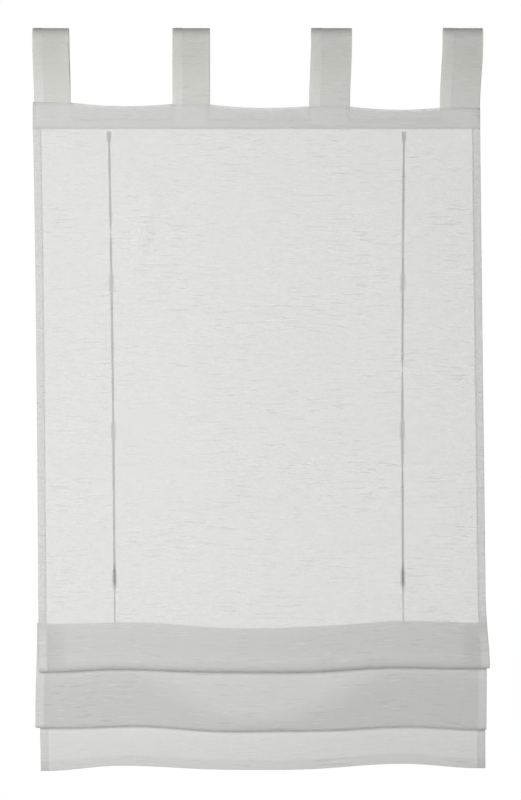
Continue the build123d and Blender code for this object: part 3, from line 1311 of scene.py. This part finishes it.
@dataclass
class StitchSurface(Surface):
    """Many short closed tubes in one grid: each stitch is four rings of four points, capped at its ends."""

    rings: int = 4
    ring_points: int = 4

    def faces(self) -> np.ndarray:
        """The faces of every stitch.

        Returns:
            An array of four point numbers a face.
        """
        size = self.rings * self.ring_points
        first = np.arange(self.ring_points)
        caps = np.stack([first, size - 1 - first])
        one = np.concatenate([grid_faces(self.rings, self.ring_points, loop_columns=True), caps])
        count = len(self.points) // self.rings
        return (one + size * np.arange(count)[:, None, None]).reshape(-1, 4)


@dataclass(frozen=True)
class Stitching:
    """A row of machine stitches: each rises out of the cloth, runs along it and dips back in."""

    length: float = 2.9
    gap: float = 0.8
    radius: float = 0.15
    dip: float = 0.15
    rise: float = 0.1
    ring_shares: tuple[float, ...] = (0, 0.2, 0.8, 1)

    def along(self, path: np.ndarray, out: np.ndarray) -> StitchSurface:
        """Stitches placed at an even pitch along a line on the cloth.

        The line is read at each stitch's four rings by its length, each ring is raised or dipped along the
        cloth's outward direction, and its points are set square around it.

        Args:
            path: Points of the line, n by 3.
            out: Outward direction of the cloth at each point, n by 3.

        Returns:
            The row of stitches.
        """
        reach = path_length(path)
        pitch = self.length + self.gap
        starts = np.arange(int(reach[-1] // pitch)) * pitch + self.gap / 2
        places = starts[:, None] + self.length * np.array(self.ring_shares)
        middle = np.stack([np.interp(places, reach, path[:, axis]) for axis in range(3)], axis=-1)
        outward = unit(np.stack([np.interp(places, reach, out[:, axis]) for axis in range(3)], axis=-1))
        middle = middle + outward * np.array([-self.dip, self.rise, self.rise, -self.dip])[:, None]
        side = np.cross(unit(middle[:, -1:] - middle[:, :1]), outward)
        sides = StitchSurface.ring_points
        angle = ring_angles(sides, start_share=0.5)
        ring = np.cos(angle)[:, None] * outward[:, :, None] + np.sin(angle)[:, None] * side[:, :, None]
        points = middle[:, :, None] + self.radius * ring
        weave = weave_map(places[:, :, None] + angle * self.radius, places[:, :, None])
        return StitchSurface(points.reshape(-1, sides, 3), weave.reshape(-1, sides, 2))


# Tab loops


@dataclass
class TabLoop:
    """A strip sewn as a flat tube, folded over the rod, with both ends sewn into the header.

    The tube's own seam makes a strip of double cloth that shows along one side of the outer face; its extra
    density is partly that double cloth and partly a painted highlight where that side faces the light. The
    strip's seam_share is of the whole width, and the other shares across are of half of it.
    """

    number: int
    middle: float
    width: float
    top_move: float
    top_edge: float
    tube_depth: float = 0.75
    thickness: float = 0.3
    rod_reach: float = 14.6
    flare_radius: float = 30
    front_y: float = -0.65
    back_y: float = 0.2
    end_z: float = -110
    leg_belly: float = 3.2
    belly_power: float = 0.75
    run_counts: tuple[int, ...] = (4, 14, 14, 4)
    arc_count: int = 15
    seam_share: float = 0.27
    seam_raise: float = 0.15
    seam_gap_share: float = 0.03
    seam_fade_share: float = 0.02
    rim_shares: tuple[float, ...] = (0, 0.008, 0.025)
    flat_share: float = 0.95
    strip_columns: int = 6
    plain_columns: int = 12
    edge_power: int = 40
    # partly the seam's double cloth, partly a painted highlight on the strip
    strip_dense_share: float = 0.22
    # painted shade: the tab's cover rises from the rod to the header, so its top renders darker
    shade_gradient_share: float = 0.67
    sewn_fade: float = 3
    weave_step: float = 310

    def path(self) -> np.ndarray:
        """The tube's middle line: up the front, over the rod and down the back.

        The legs belly outward between the rod and the header as the square of a half sine.

        Returns:
            Points, n by 3.
        """
        turns = [
            Turn(self.front_y - self.flare_radius, self.top_edge, self.flare_radius),
            Turn(0, 0, -self.rod_reach),
            Turn(self.back_y + self.flare_radius, self.top_edge, self.flare_radius),
        ]
        ends = (self.front_y, self.end_z), (self.back_y, self.end_z)
        y, z = turn_path(turns, *ends, np.zeros(1), self.run_counts, self.arc_count, UP)
        down_share = np.clip(z / self.top_edge, 0, 1)
        y = y + np.sign(y) * self.leg_belly * np.sin(np.pi * down_share**self.belly_power) ** 2
        x = self.middle + self.top_move * smooth(z, self.top_edge, 0)
        return np.concatenate([x, y, z], axis=1)

    def surface(self) -> Surface:
        """Carries the flat tube's section along the path.

        The section's two faces lie half the tube's depth to either side and close at its edges with a high
        power of the place across.

        Returns:
            The tube's surface, with the share "dense" high on the seam's strip and rising from the rod to
            the header, as painted shade that darkens the tab's top.
        """
        path = self.path()
        across = np.tile([1.0, 0, 0], (len(path), 1))
        edge = 2 * self.seam_share - 1
        rim = np.array(self.rim_shares)
        left = np.linspace(-self.flat_share, edge - self.seam_gap_share, self.strip_columns)
        right = np.linspace(edge + self.seam_gap_share, self.flat_share, self.plain_columns)
        face = np.concatenate([rim - 1, left, right, 1 - rim[::-1]])
        other_face = slice(-2, 0, -1)
        full = 1 - face**self.edge_power
        half = self.tube_depth / 2 * full
        strip = smooth(edge - face, -self.seam_fade_share, self.seam_fade_share)
        a = np.concatenate([face, face[other_face]]) * self.width / 2
        b = np.concatenate([half + self.seam_raise * strip * full, -half[other_face]])
        points = tube_points(path, across, back_of(path), np.stack([a, b], axis=-1)[None])
        along = path_length(path) + self.weave_step * self.number
        around = run_length(np.hypot(np.diff(a), np.diff(b)))
        drop = -path[:, 2:]
        # painted shade: cover eases up from the rod to the header's edge, darkening the tab's top
        shade_gradient = self.shade_gradient_share * smooth(drop, -self.rod_reach, -self.top_edge)
        sewn_in = smooth(drop + self.top_edge, -self.sewn_fade, self.sewn_fade)
        double = np.concatenate([strip, 0 * face[other_face]])
        dense = np.maximum(shade_gradient + self.strip_dense_share * double, sewn_in)
        return Surface(points, weave_map(around[None], along[:, None]), {"dense": dense}, loop_columns=True)

    def build(self, material: bpy.types.Material) -> bpy.types.Object:
        """Makes the tab and sets it in place of its solid.

        Args:
            material: The tab cloth's finish.

        Returns:
            The tab.
        """
        surface = self.surface()
        piece = make_piece(f"tab_cloth_{self.number}", [surface], material)
        thicken(piece, self.thickness)
        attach(piece, BODY)
        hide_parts(f"tab_loop_{self.number}")
        return piece


# Lift tapes and guide loops


@dataclass
class GuideLoop:
    """A short band of cloth on the panel's back, sewn down at both edges, that the tape passes through."""

    side: Side
    number: int
    middle_z: float
    cloth_y: float
    hang: Hang
    height: float = 22
    thickness: float = 0.3
    roof_half: float = 2.7
    foot: float = 1.0
    foot_gap: float = 0.3
    foot_y: float = 0.32
    depth: float = 1.2
    wall_span: tuple[float, float] = (-0.15, 0.45)
    rise_fade: tuple[float, float] = (-0.1, 0.4)
    roof_inset: float = 0.8
    drawn_share: float = 0.12
    drawn_power: int = 4
    foot_columns: int = 3
    wall_columns: int = 6
    roof_columns: int = 5
    rows: int = 11
    weave_step: float = 40

    def surface(self) -> Surface:
        """The band: flat feet beside a roof that eases up from them, with its open ends drawn in a little.

        Returns:
            The band's surface.
        """
        roof = self.roof_half
        feet = np.linspace(roof + self.foot, roof + self.foot_gap, self.foot_columns)
        walls = roof - np.linspace(*self.wall_span, self.wall_columns)
        outer = np.concatenate([feet, walls])
        inner = np.linspace(self.roof_inset - roof, roof - self.roof_inset, self.roof_columns)
        x = np.concatenate([-outer, inner, outer[::-1]])
        raised = self.depth * smooth(roof - np.abs(x), *self.rise_fade)
        end_share = np.linspace(1, -1, self.rows)[:, None]
        z = self.middle_z + self.height / 2 * end_share
        middle = self.hang.tape_x(self.side, z)
        y = self.cloth_y + self.hang.wave(middle, z) + self.foot_y
        y = y + raised * (1 - self.drawn_share * end_share**self.drawn_power)
        points = np.stack(np.broadcast_arrays(middle + x, y, z), axis=-1)
        around = run_length(np.hypot(np.diff(x), np.diff(raised))) + self.weave_step * self.number
        return Surface(points, weave_map(around[None], z), {"dense": np.ones(points.shape[:2])})

    def build(self, material: bpy.types.Material) -> bpy.types.Object:
        """Makes the loop and sets it in place of its solid.

        Args:
            material: The loop's finish.

        Returns:
            The loop.
        """
        name = f"guide_{self.side.word}_{self.number}"
        piece = make_piece(name, [self.surface()], material)
        thicken(piece, self.thickness)
        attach(piece, BODY)
        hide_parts(f"guide_loop_{self.side.word}_{self.number}")
        log.info("%s: %.0f mm down", name, -self.middle_z)
        return piece


@dataclass
class LiftTape:
    """A narrow tape sewn on below the header, rolled up like string, flat in its loops and knotted."""

    side: Side
    thin_z: float
    second_crest: Turn
    hang: Hang

    # Its way down
    top_z: float = -123.9
    anchor_z: float = -135.3
    slack_z: float = -765
    bend: Turn = Turn(2.5, -806.75, 3)
    crest_clearance: float = 0.6
    bottom_z: float = -834
    end_y: float = 12.5
    cloth_half: float = 0.15
    clearance: float = 0.1
    run_counts: tuple[int, ...] = (220, 4, 8)
    arc_count: int = 9
    ring_points: int = 12

    # Its section
    flat_loops: tuple[float, ...] = LOOP_HEIGHTS[:2]
    bunched_loop: float = LOOP_HEIGHTS[2]
    loop_half: float = 12
    loop_fade: float = 4
    anchor_fade: tuple[float, float] = (-3, 1)
    slack_fade: tuple[float, float] = (22, 30)
    low_fade: tuple[float, float] = (-4, 6)
    hanging_fade: float = 8
    rolled_width: float = 3.3
    rolled_depth: float = 1.25
    flat_width: float = 4.1
    flat_depth: float = 0.45
    slack_width: float = 2.1
    anchor_widening: float = 2.5
    anchor_thinning: float = 0.35
    anchor_flat_share: float = 0.4
    thin_narrowing: float = 2.4
    thin_reach: float = 9
    bunch_widening: float = 0.3
    bunch_width_reach: float = 11
    bunch_thinning: float = 0.2
    bunch_depth_reach: float = 14
    bunch_held_reach: float = 16
    slow_twist: tuple[float, float] = (0.45, 31)
    quick_twist: tuple[float, float] = (0.35, 13.7)

    # Its knot
    knot_scale: float = 0.78
    knot_radius: float = 0.85
    knot_y: float = 13.75
    knot_z: float = -837
    knot_points: int = 60
    knot_ring_points: int = 8
    knot_weave_step: float = 0.5

    def shape(self, z: np.ndarray) -> tuple[np.ndarray, np.ndarray, np.ndarray, np.ndarray]:
        """The tape's width, depth, twist and rolled share down its hanging part.

        A twist is an angle times the sine of the height over a length.

        Args:
            z: Heights.

        Returns:
            The four values at each height.
        """
        flat = 0 * z
        for loop in self.flat_loops:
            flat = flat + 1 - smooth(np.abs(z - loop) - self.loop_half, -self.loop_fade, self.loop_fade)
        anchor = smooth(z - self.anchor_z, *self.anchor_fade)
        low = 1 - smooth(z - self.bend.z, *self.low_fade)
        slack = 1 - smooth(np.abs(z - self.slack_z), *self.slack_fade)
        rolled = np.clip(1 - flat - low, 0, 1)
        width = self.flat_width + (self.rolled_width - self.flat_width) * rolled
        width = width + self.anchor_widening * anchor + (self.slack_width - self.rolled_width) * slack
        width = width - self.thin_narrowing * bell(z, self.thin_z, self.thin_reach)
        width = width + self.bunch_widening * bell(z, self.bunched_loop, self.bunch_width_reach)
        depth = self.flat_depth + (self.rolled_depth - self.flat_depth) * rolled
        depth = depth - self.anchor_thinning * anchor
        depth = depth - self.bunch_thinning * bell(z, self.bunched_loop, self.bunch_depth_reach)
        held = anchor + flat + low + bell(z, self.bunched_loop, self.bunch_held_reach)
        slow_angle, slow_length = self.slow_twist
        quick_angle, quick_length = self.quick_twist
        twist = slow_angle * np.sin(z / slow_length + self.side.value)
        twist = twist + quick_angle * np.sin(z / quick_length)
        twist = twist * (1 - np.clip(held, 0, 1))
        return width, depth, twist, rolled * (1 - self.anchor_flat_share * anchor)

    def surface(self) -> Surface:
        """Carries an oval section down the tape's line: behind the cloth, round the bend, over the crest.

        On the hanging part the section stands off the cloth by its own reach, the root of the sum of the
        squares of the turned half width and half depth.

        Returns:
            The tape's surface, with the share "rolled".
        """
        start = (self.bend.y - self.bend.radius, self.top_z)
        end = (self.end_y, self.bottom_z)
        crest = replace(self.second_crest, radius=self.second_crest.radius - self.crest_clearance)
        y, z = turn_path([self.bend, crest], start, end, np.zeros(1), self.run_counts, self.arc_count)
        y, z = y[:, 0], z[:, 0]
        width, depth, twist, rolled = self.shape(z)
        hanging = smooth(z - self.bend.z, 0, self.hanging_fade)
        reach = np.hypot(width / 2 * np.sin(twist), depth / 2 * np.cos(twist))
        stood_off = self.hang.panel_y + self.cloth_half + self.clearance + reach
        y = y + (stood_off - y) * hanging
        x = self.hang.tape_x(self.side, z)
        path = np.stack([x, y + self.hang.wave(x, z), z], axis=1)
        back = back_of(path)
        side = np.tile([1.0, 0, 0], (len(path), 1))
        turn_cos, turn_sin = np.cos(twist)[:, None], np.sin(twist)[:, None]
        across = side * turn_cos + back * turn_sin
        beside = back * turn_cos - side * turn_sin
        angle = ring_angles(self.ring_points)
        ring = np.stack([width[:, None] / 2 * np.cos(angle), depth[:, None] / 2 * np.sin(angle)], axis=-1)
        points = tube_points(path, across, beside, ring)
        weave = weave_map(angle * width[:, None] / 4, path_length(path)[:, None])
        return Surface(points, weave, {"rolled": rolled[:, None] + 0 * angle}, loop_columns=True)

    def knot(self) -> Surface:
        """The knot: a round section carried along a trefoil.

        The trefoil is (sin t + 2 sin 2t, -sin 3t, cos t - 2 cos 2t).

        Returns:
            The knot's surface.
        """
        t = ring_angles(self.knot_points)
        trefoil = [np.sin(t) + 2 * np.sin(2 * t), -np.sin(3 * t), np.cos(t) - 2 * np.cos(2 * t)]
        x = self.hang.tape_x(self.side, self.knot_z)
        middle = np.array([x, self.knot_y + self.hang.wave(x, self.knot_z), self.knot_z])
        path = middle + self.knot_scale * np.stack(trefoil, axis=1)
        heading = unit(np.roll(path, -1, axis=0) - np.roll(path, 1, axis=0))
        beside = unit(np.cross(heading, [0.0, 1.0, 0.0]))
        angle = ring_angles(self.knot_ring_points)
        ring = self.knot_radius * np.stack([np.cos(angle), np.sin(angle)], axis=-1)[None]
        points = tube_points(path, beside, np.cross(heading, beside), ring)
        along = self.knot_weave_step * np.arange(self.knot_points)
        weave = weave_map(angle[None], along[:, None])
        rolled = np.ones(points.shape[:2])
        return Surface(points, weave, {"rolled": rolled}, loop_rows=True, loop_columns=True)

    def build(self, material: bpy.types.Material) -> bpy.types.Object:
        """Makes the tape with its knot and sets it in place of its solid.

        Args:
            material: The tape's finish.

        Returns:
            The tape.
        """
        name = f"tape_{self.side.word}"
        piece = make_piece(name, [self.surface(), self.knot()], material)
        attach(piece, BODY)
        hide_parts(f"lift_{name}")
        log.info("%s: from %.0f to %.0f mm down", name, -self.top_z, -self.knot_z)
        return piece


# Studio


@dataclass
class Studio:
    """The camera, the lamps, the floor and the white background."""

    camera_distance: float = 6.0
    picture_middle: tuple[float, float] = (0.0054, -0.4842)
    picture_height: float = 1.0736
    sensor: float = 36
    floor_z: float = -1.62
    floor_size: float = 3.4
    floor_points: int = 9
    floor_colour: tuple[float, float, float] = (0.82, 0.82, 0.81)
    lamp_size: float = 1.1
    front_lamp: tuple[float, float, float] = (-0.72, -2.1, -0.36)
    front_power: float = 32.6
    back_lamp: tuple[float, float, float] = (0.4, 2.1, -0.3)
    back_power: float = 17
    world_strength: float = 0.12

    def camera(self) -> None:
        """Sets a camera square to the blind, so that picture_height fills the frame's height."""
        data = bpy.data.cameras.new("camera")
        data.sensor_width = self.sensor
        data.lens = self.sensor * self.camera_distance / self.picture_height
        camera = bpy.data.objects.new("camera", data)
        camera.location = (self.picture_middle[0], -self.camera_distance, self.picture_middle[1])
        camera.rotation_euler = (math.pi / 2, 0, 0)
        bpy.context.scene.collection.objects.link(camera)
        bpy.context.scene.camera = camera

    def lamp(self, name: str, place: tuple[float, float, float], power: float) -> None:
        """Hangs one broad soft lamp that faces the blind's upright axis.

        Args:
            name: The lamp's name.
            place: Where it hangs.
            power: Its power in watts.
        """
        data = bpy.data.lights.new(name, "AREA")
        data.energy = power
        data.size = self.lamp_size
        lamp = bpy.data.objects.new(name, data)
        lamp.location = place
        lamp.rotation_euler = (math.pi / 2, 0, math.atan2(place[0], -place[1]))
        bpy.context.scene.collection.objects.link(lamp)

    def world(self) -> None:
        """Makes an even soft room light that the camera sees as plain white."""
        world = bpy.data.worlds.new("room")
        world.use_nodes = True
        tree = world.node_tree
        tree.nodes.clear()
        seen = tree.nodes.new("ShaderNodeLightPath")
        light = tree.nodes.new("ShaderNodeBackground")
        white = tree.nodes.new("ShaderNodeBackground")
        light.inputs["Strength"].default_value = self.world_strength
        for background in (light, white):
            background.inputs["Color"].default_value = (1, 1, 1, 1)
        mix = tree.nodes.new("ShaderNodeMixShader")
        output = tree.nodes.new("ShaderNodeOutputWorld")
        tree.links.new(seen.outputs["Is Camera Ray"], mix.inputs[0])
        tree.links.new(light.outputs[0], mix.inputs[1])
        tree.links.new(white.outputs[0], mix.inputs[2])
        tree.links.new(mix.outputs[0], output.inputs["Surface"])
        bpy.context.scene.world = world

    def floor(self, finish: FloorFinish) -> None:
        """Lays the floor far below, out of the photograph's frame.

        Args:
            finish: The floor's finish.
        """
        reach = np.linspace(-self.floor_size / 2, self.floor_size / 2, self.floor_points) / MM
        x, y = np.meshgrid(reach, reach)
        points = np.stack([x, y, np.full_like(x, self.floor_z / MM)], axis=-1)
        floor = make_piece("floor", [Surface(points, points[..., :2])], finish.material())

    def build(self) -> None:
        """Sets the whole studio up."""
        scene = bpy.context.scene
        scene.view_settings.view_transform = "Standard"
        self.camera()
        self.lamp("front_lamp", self.front_lamp, self.front_power)
        self.lamp("back_lamp", self.back_lamp, self.back_power)
        self.world()
        self.floor(FloorFinish("pale_floor", self.floor_colour))


def main() -> None:
    """Builds the studio and every piece of the blind in order."""
    logging.basicConfig(level=logging.INFO, format="%(name)s: %(message)s")
    Studio().build()
    hang = Hang()
    panel = Panel(hang)
    white = (0.954, 0.96, 0.945)
    tab_white = (0.955, 0.965, 0.92)
    cloth = ClothFinish(
        "sheer_slub_cloth", white, cover_share=0.53, hem_cover_share=0.85, glow_share=0.08, slub_share=0.076
    ).material()
    tab_cloth = ClothFinish(
        "tab_slub_cloth", tab_white, cover_share=0.29, hem_cover_share=1.0, glow_share=0.05, slub_share=0.05
    ).material()
    guide_cloth = ClothFinish(
        "guide_cloth", white, cover_share=0.42, hem_cover_share=0.46, glow_share=0.1, slub_share=0.11
    ).material()
    # the tape's greys are painted shade of the tape behind the cloth
    tape = TapeFinish(
        "lift_tape", rolled_shade_colour=(0.16, 0.16, 0.16), flat_shade_colour=(0.42, 0.42, 0.41), flat_cover_share=0.5
    ).material()
    thread = ThreadFinish("thread", (0.88, 0.885, 0.87)).material()
    tabs = []
    for number, (middle, width, move) in enumerate(TAB_PLACES, start=1):
        edge = float(panel.header_edge(np.array(middle)))
        tabs.append(TabLoop(number, middle, width, move, edge).build(tab_cloth))
    loops = [(height, hang.panel_y) for height in LOOP_HEIGHTS] + [(LAST_LOOP_HEIGHT, panel.flap_y)]
    sewn_on = []
    for side, thin_z in zip(Side, THIN_HEIGHTS):
        for number, (middle_z, cloth_y) in enumerate(loops, start=1):
            sewn_on.append(GuideLoop(side, number, middle_z, cloth_y, hang).build(guide_cloth))
        second_crest = panel.turns(hang.tape_x(side, np.array([hang.crest_z])))[-1]
        sewn_on.append(LiftTape(side, thin_z, second_crest, hang).build(tape))
    panel.build(cloth, thread, tabs, sewn_on)


if __name__ == "__main__":
    main()
